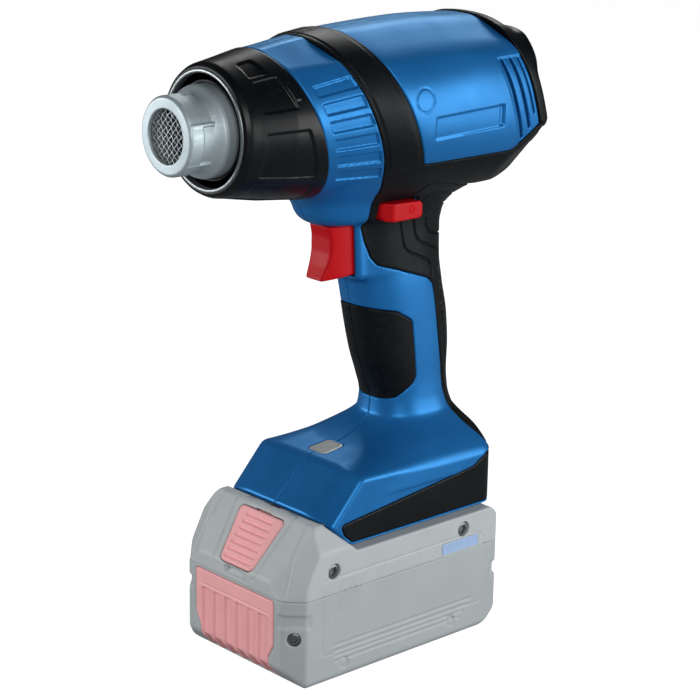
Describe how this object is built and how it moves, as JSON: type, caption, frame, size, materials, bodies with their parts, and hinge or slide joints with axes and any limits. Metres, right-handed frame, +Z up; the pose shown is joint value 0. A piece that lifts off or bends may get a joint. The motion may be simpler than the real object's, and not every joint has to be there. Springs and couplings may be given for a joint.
{
  "type": "cordless heat gun",
  "caption": "Pistol-grip cordless heat gun with a steel outlet, conical heat shield, clamshell housing, trigger, cross-bolt lock and a slide-on battery pack.",
  "frame": {"origin": "centre of the battery pack's flat base, on the plane it stands on, in the clamshell's parting plane", "axes": "+Z up; the outlet points along -X and the rear cap is at +X; -Y is the tool's left-hand side when it is held, the side on which the cross-bolt lock stands out"},
  "size_m": [0.2113, 0.084, 0.2987],
  "materials": {
    "outlet_steel": "satin",
    "guard_wire": "satin",
    "shield_black": "satin",
    "trim_grey": "satin",
    "duct_steel": "satin",
    "mica": "matte",
    "heater_wire": "oxidised",
    "electric_black": "matte",
    "housing_blue": "fine-grained satin",
    "soft_black": "fine-grained matte",
    "cap_black": "satin",
    "screw_steel": "blackened",
    "lens_clear": "frosted",
    "board_green": "solder mask",
    "zinc_plate": "plated",
    "ferrite": "ground",
    "bronze": "sintered",
    "copper_core": "lacquered",
    "control_red": "satin",
    "nylon_white": "satin",
    "spring_steel": "plated",
    "sink_aluminium": "extruded",
    "wire_red": "insulation",
    "pack_grey_dark": "satin",
    "pack_grey": "satin",
    "pack_pink": "satin",
    "badge_blue": "satin",
    "pack_screw": "satin",
    "cell_wrap": "shrink film"
  },
  "bodies": {
    "tool": {"nozzle_tube": "outlet_steel", "outlet_mesh": "guard_wire", "front_cover": "shield_black", "cover_ring": "trim_grey", "heater_tube": "duct_steel", "mica_sleeve": "mica", "heater_former": "mica", "heating_coil": "heater_wire", "thermal_cutout": "electric_black", "housing_left": "housing_blue", "housing_right": "housing_blue", "soft_band_left": "soft_black", "soft_band_right": "soft_black", "front_grip_left": "soft_black", "front_grip_right": "soft_black", "foot_panel_left": "soft_black", "foot_panel_right": "soft_black", "rear_cap": "cap_black", "intake_screen": "guard_wire", "housing_screws": "screw_steel", "led_lens": "lens_clear", "led_board": "board_green", "air_duct": "electric_black", "motor_can": "zinc_plate", "motor_end_bell": "electric_black", "motor_magnets": "ferrite", "motor_bushes": "bronze", "switch_body": "electric_black", "control_board": "board_green", "heat_sink": "sink_aluminium", "terminal_block": "electric_black", "contact_blades": "bronze", "wire_harness": "wire_red"},
    "fan": {"rotor_shaft": "screw_steel", "rotor_core": "copper_core", "fan_impeller": "electric_black"},
    "trigger": {"trigger": "control_red", "switch_plunger": "nylon_white", "trigger_spring": "spring_steel"},
    "lock": {"lock_slide": "control_red"},
    "battery_pack": {"pack_lower_case": "pack_grey_dark", "pack_upper_case": "pack_grey", "pack_front_panel": "pack_pink", "pack_badges": "badge_blue", "pack_screws": "pack_screw", "latch_spring": "spring_steel", "cells": "cell_wrap", "cell_holder_left": "electric_black", "cell_holder_right": "electric_black", "cell_straps": "zinc_plate", "pack_board": "board_green", "pack_contacts": "bronze"},
    "latch": {"latch_button": "pack_pink"}
  },
  "joints": [
    {"name": "fan_spin", "type": "hinge", "parent": "tool", "child": "fan", "pos_m": [0.04, 0, 0.2578], "axis": [1, 0, 0], "continuous": true},
    {"name": "trigger_pull", "type": "slide", "parent": "tool", "child": "trigger", "axis": [1, 0, 0], "range_m": [0, 0.006], "stiffness_N_per_m": 600, "springref_m": -0.003},
    {"name": "lock_push", "type": "slide", "parent": "tool", "child": "lock", "axis": [0, 1, 0], "range_m": [0, 0.005]},
    {"name": "pack_slide", "type": "slide", "parent": "tool", "child": "battery_pack", "axis": [-1, 0, 0], "range_m": [0, 0.11]},
    {"name": "latch_press", "type": "slide", "parent": "battery_pack", "child": "latch", "axis": [0.7912, 0, -0.6115], "range_m": [0, 0.003], "stiffness_N_per_m": 1500, "springref_m": -0.002, "deforming": ["latch_spring"]}
  ]
}
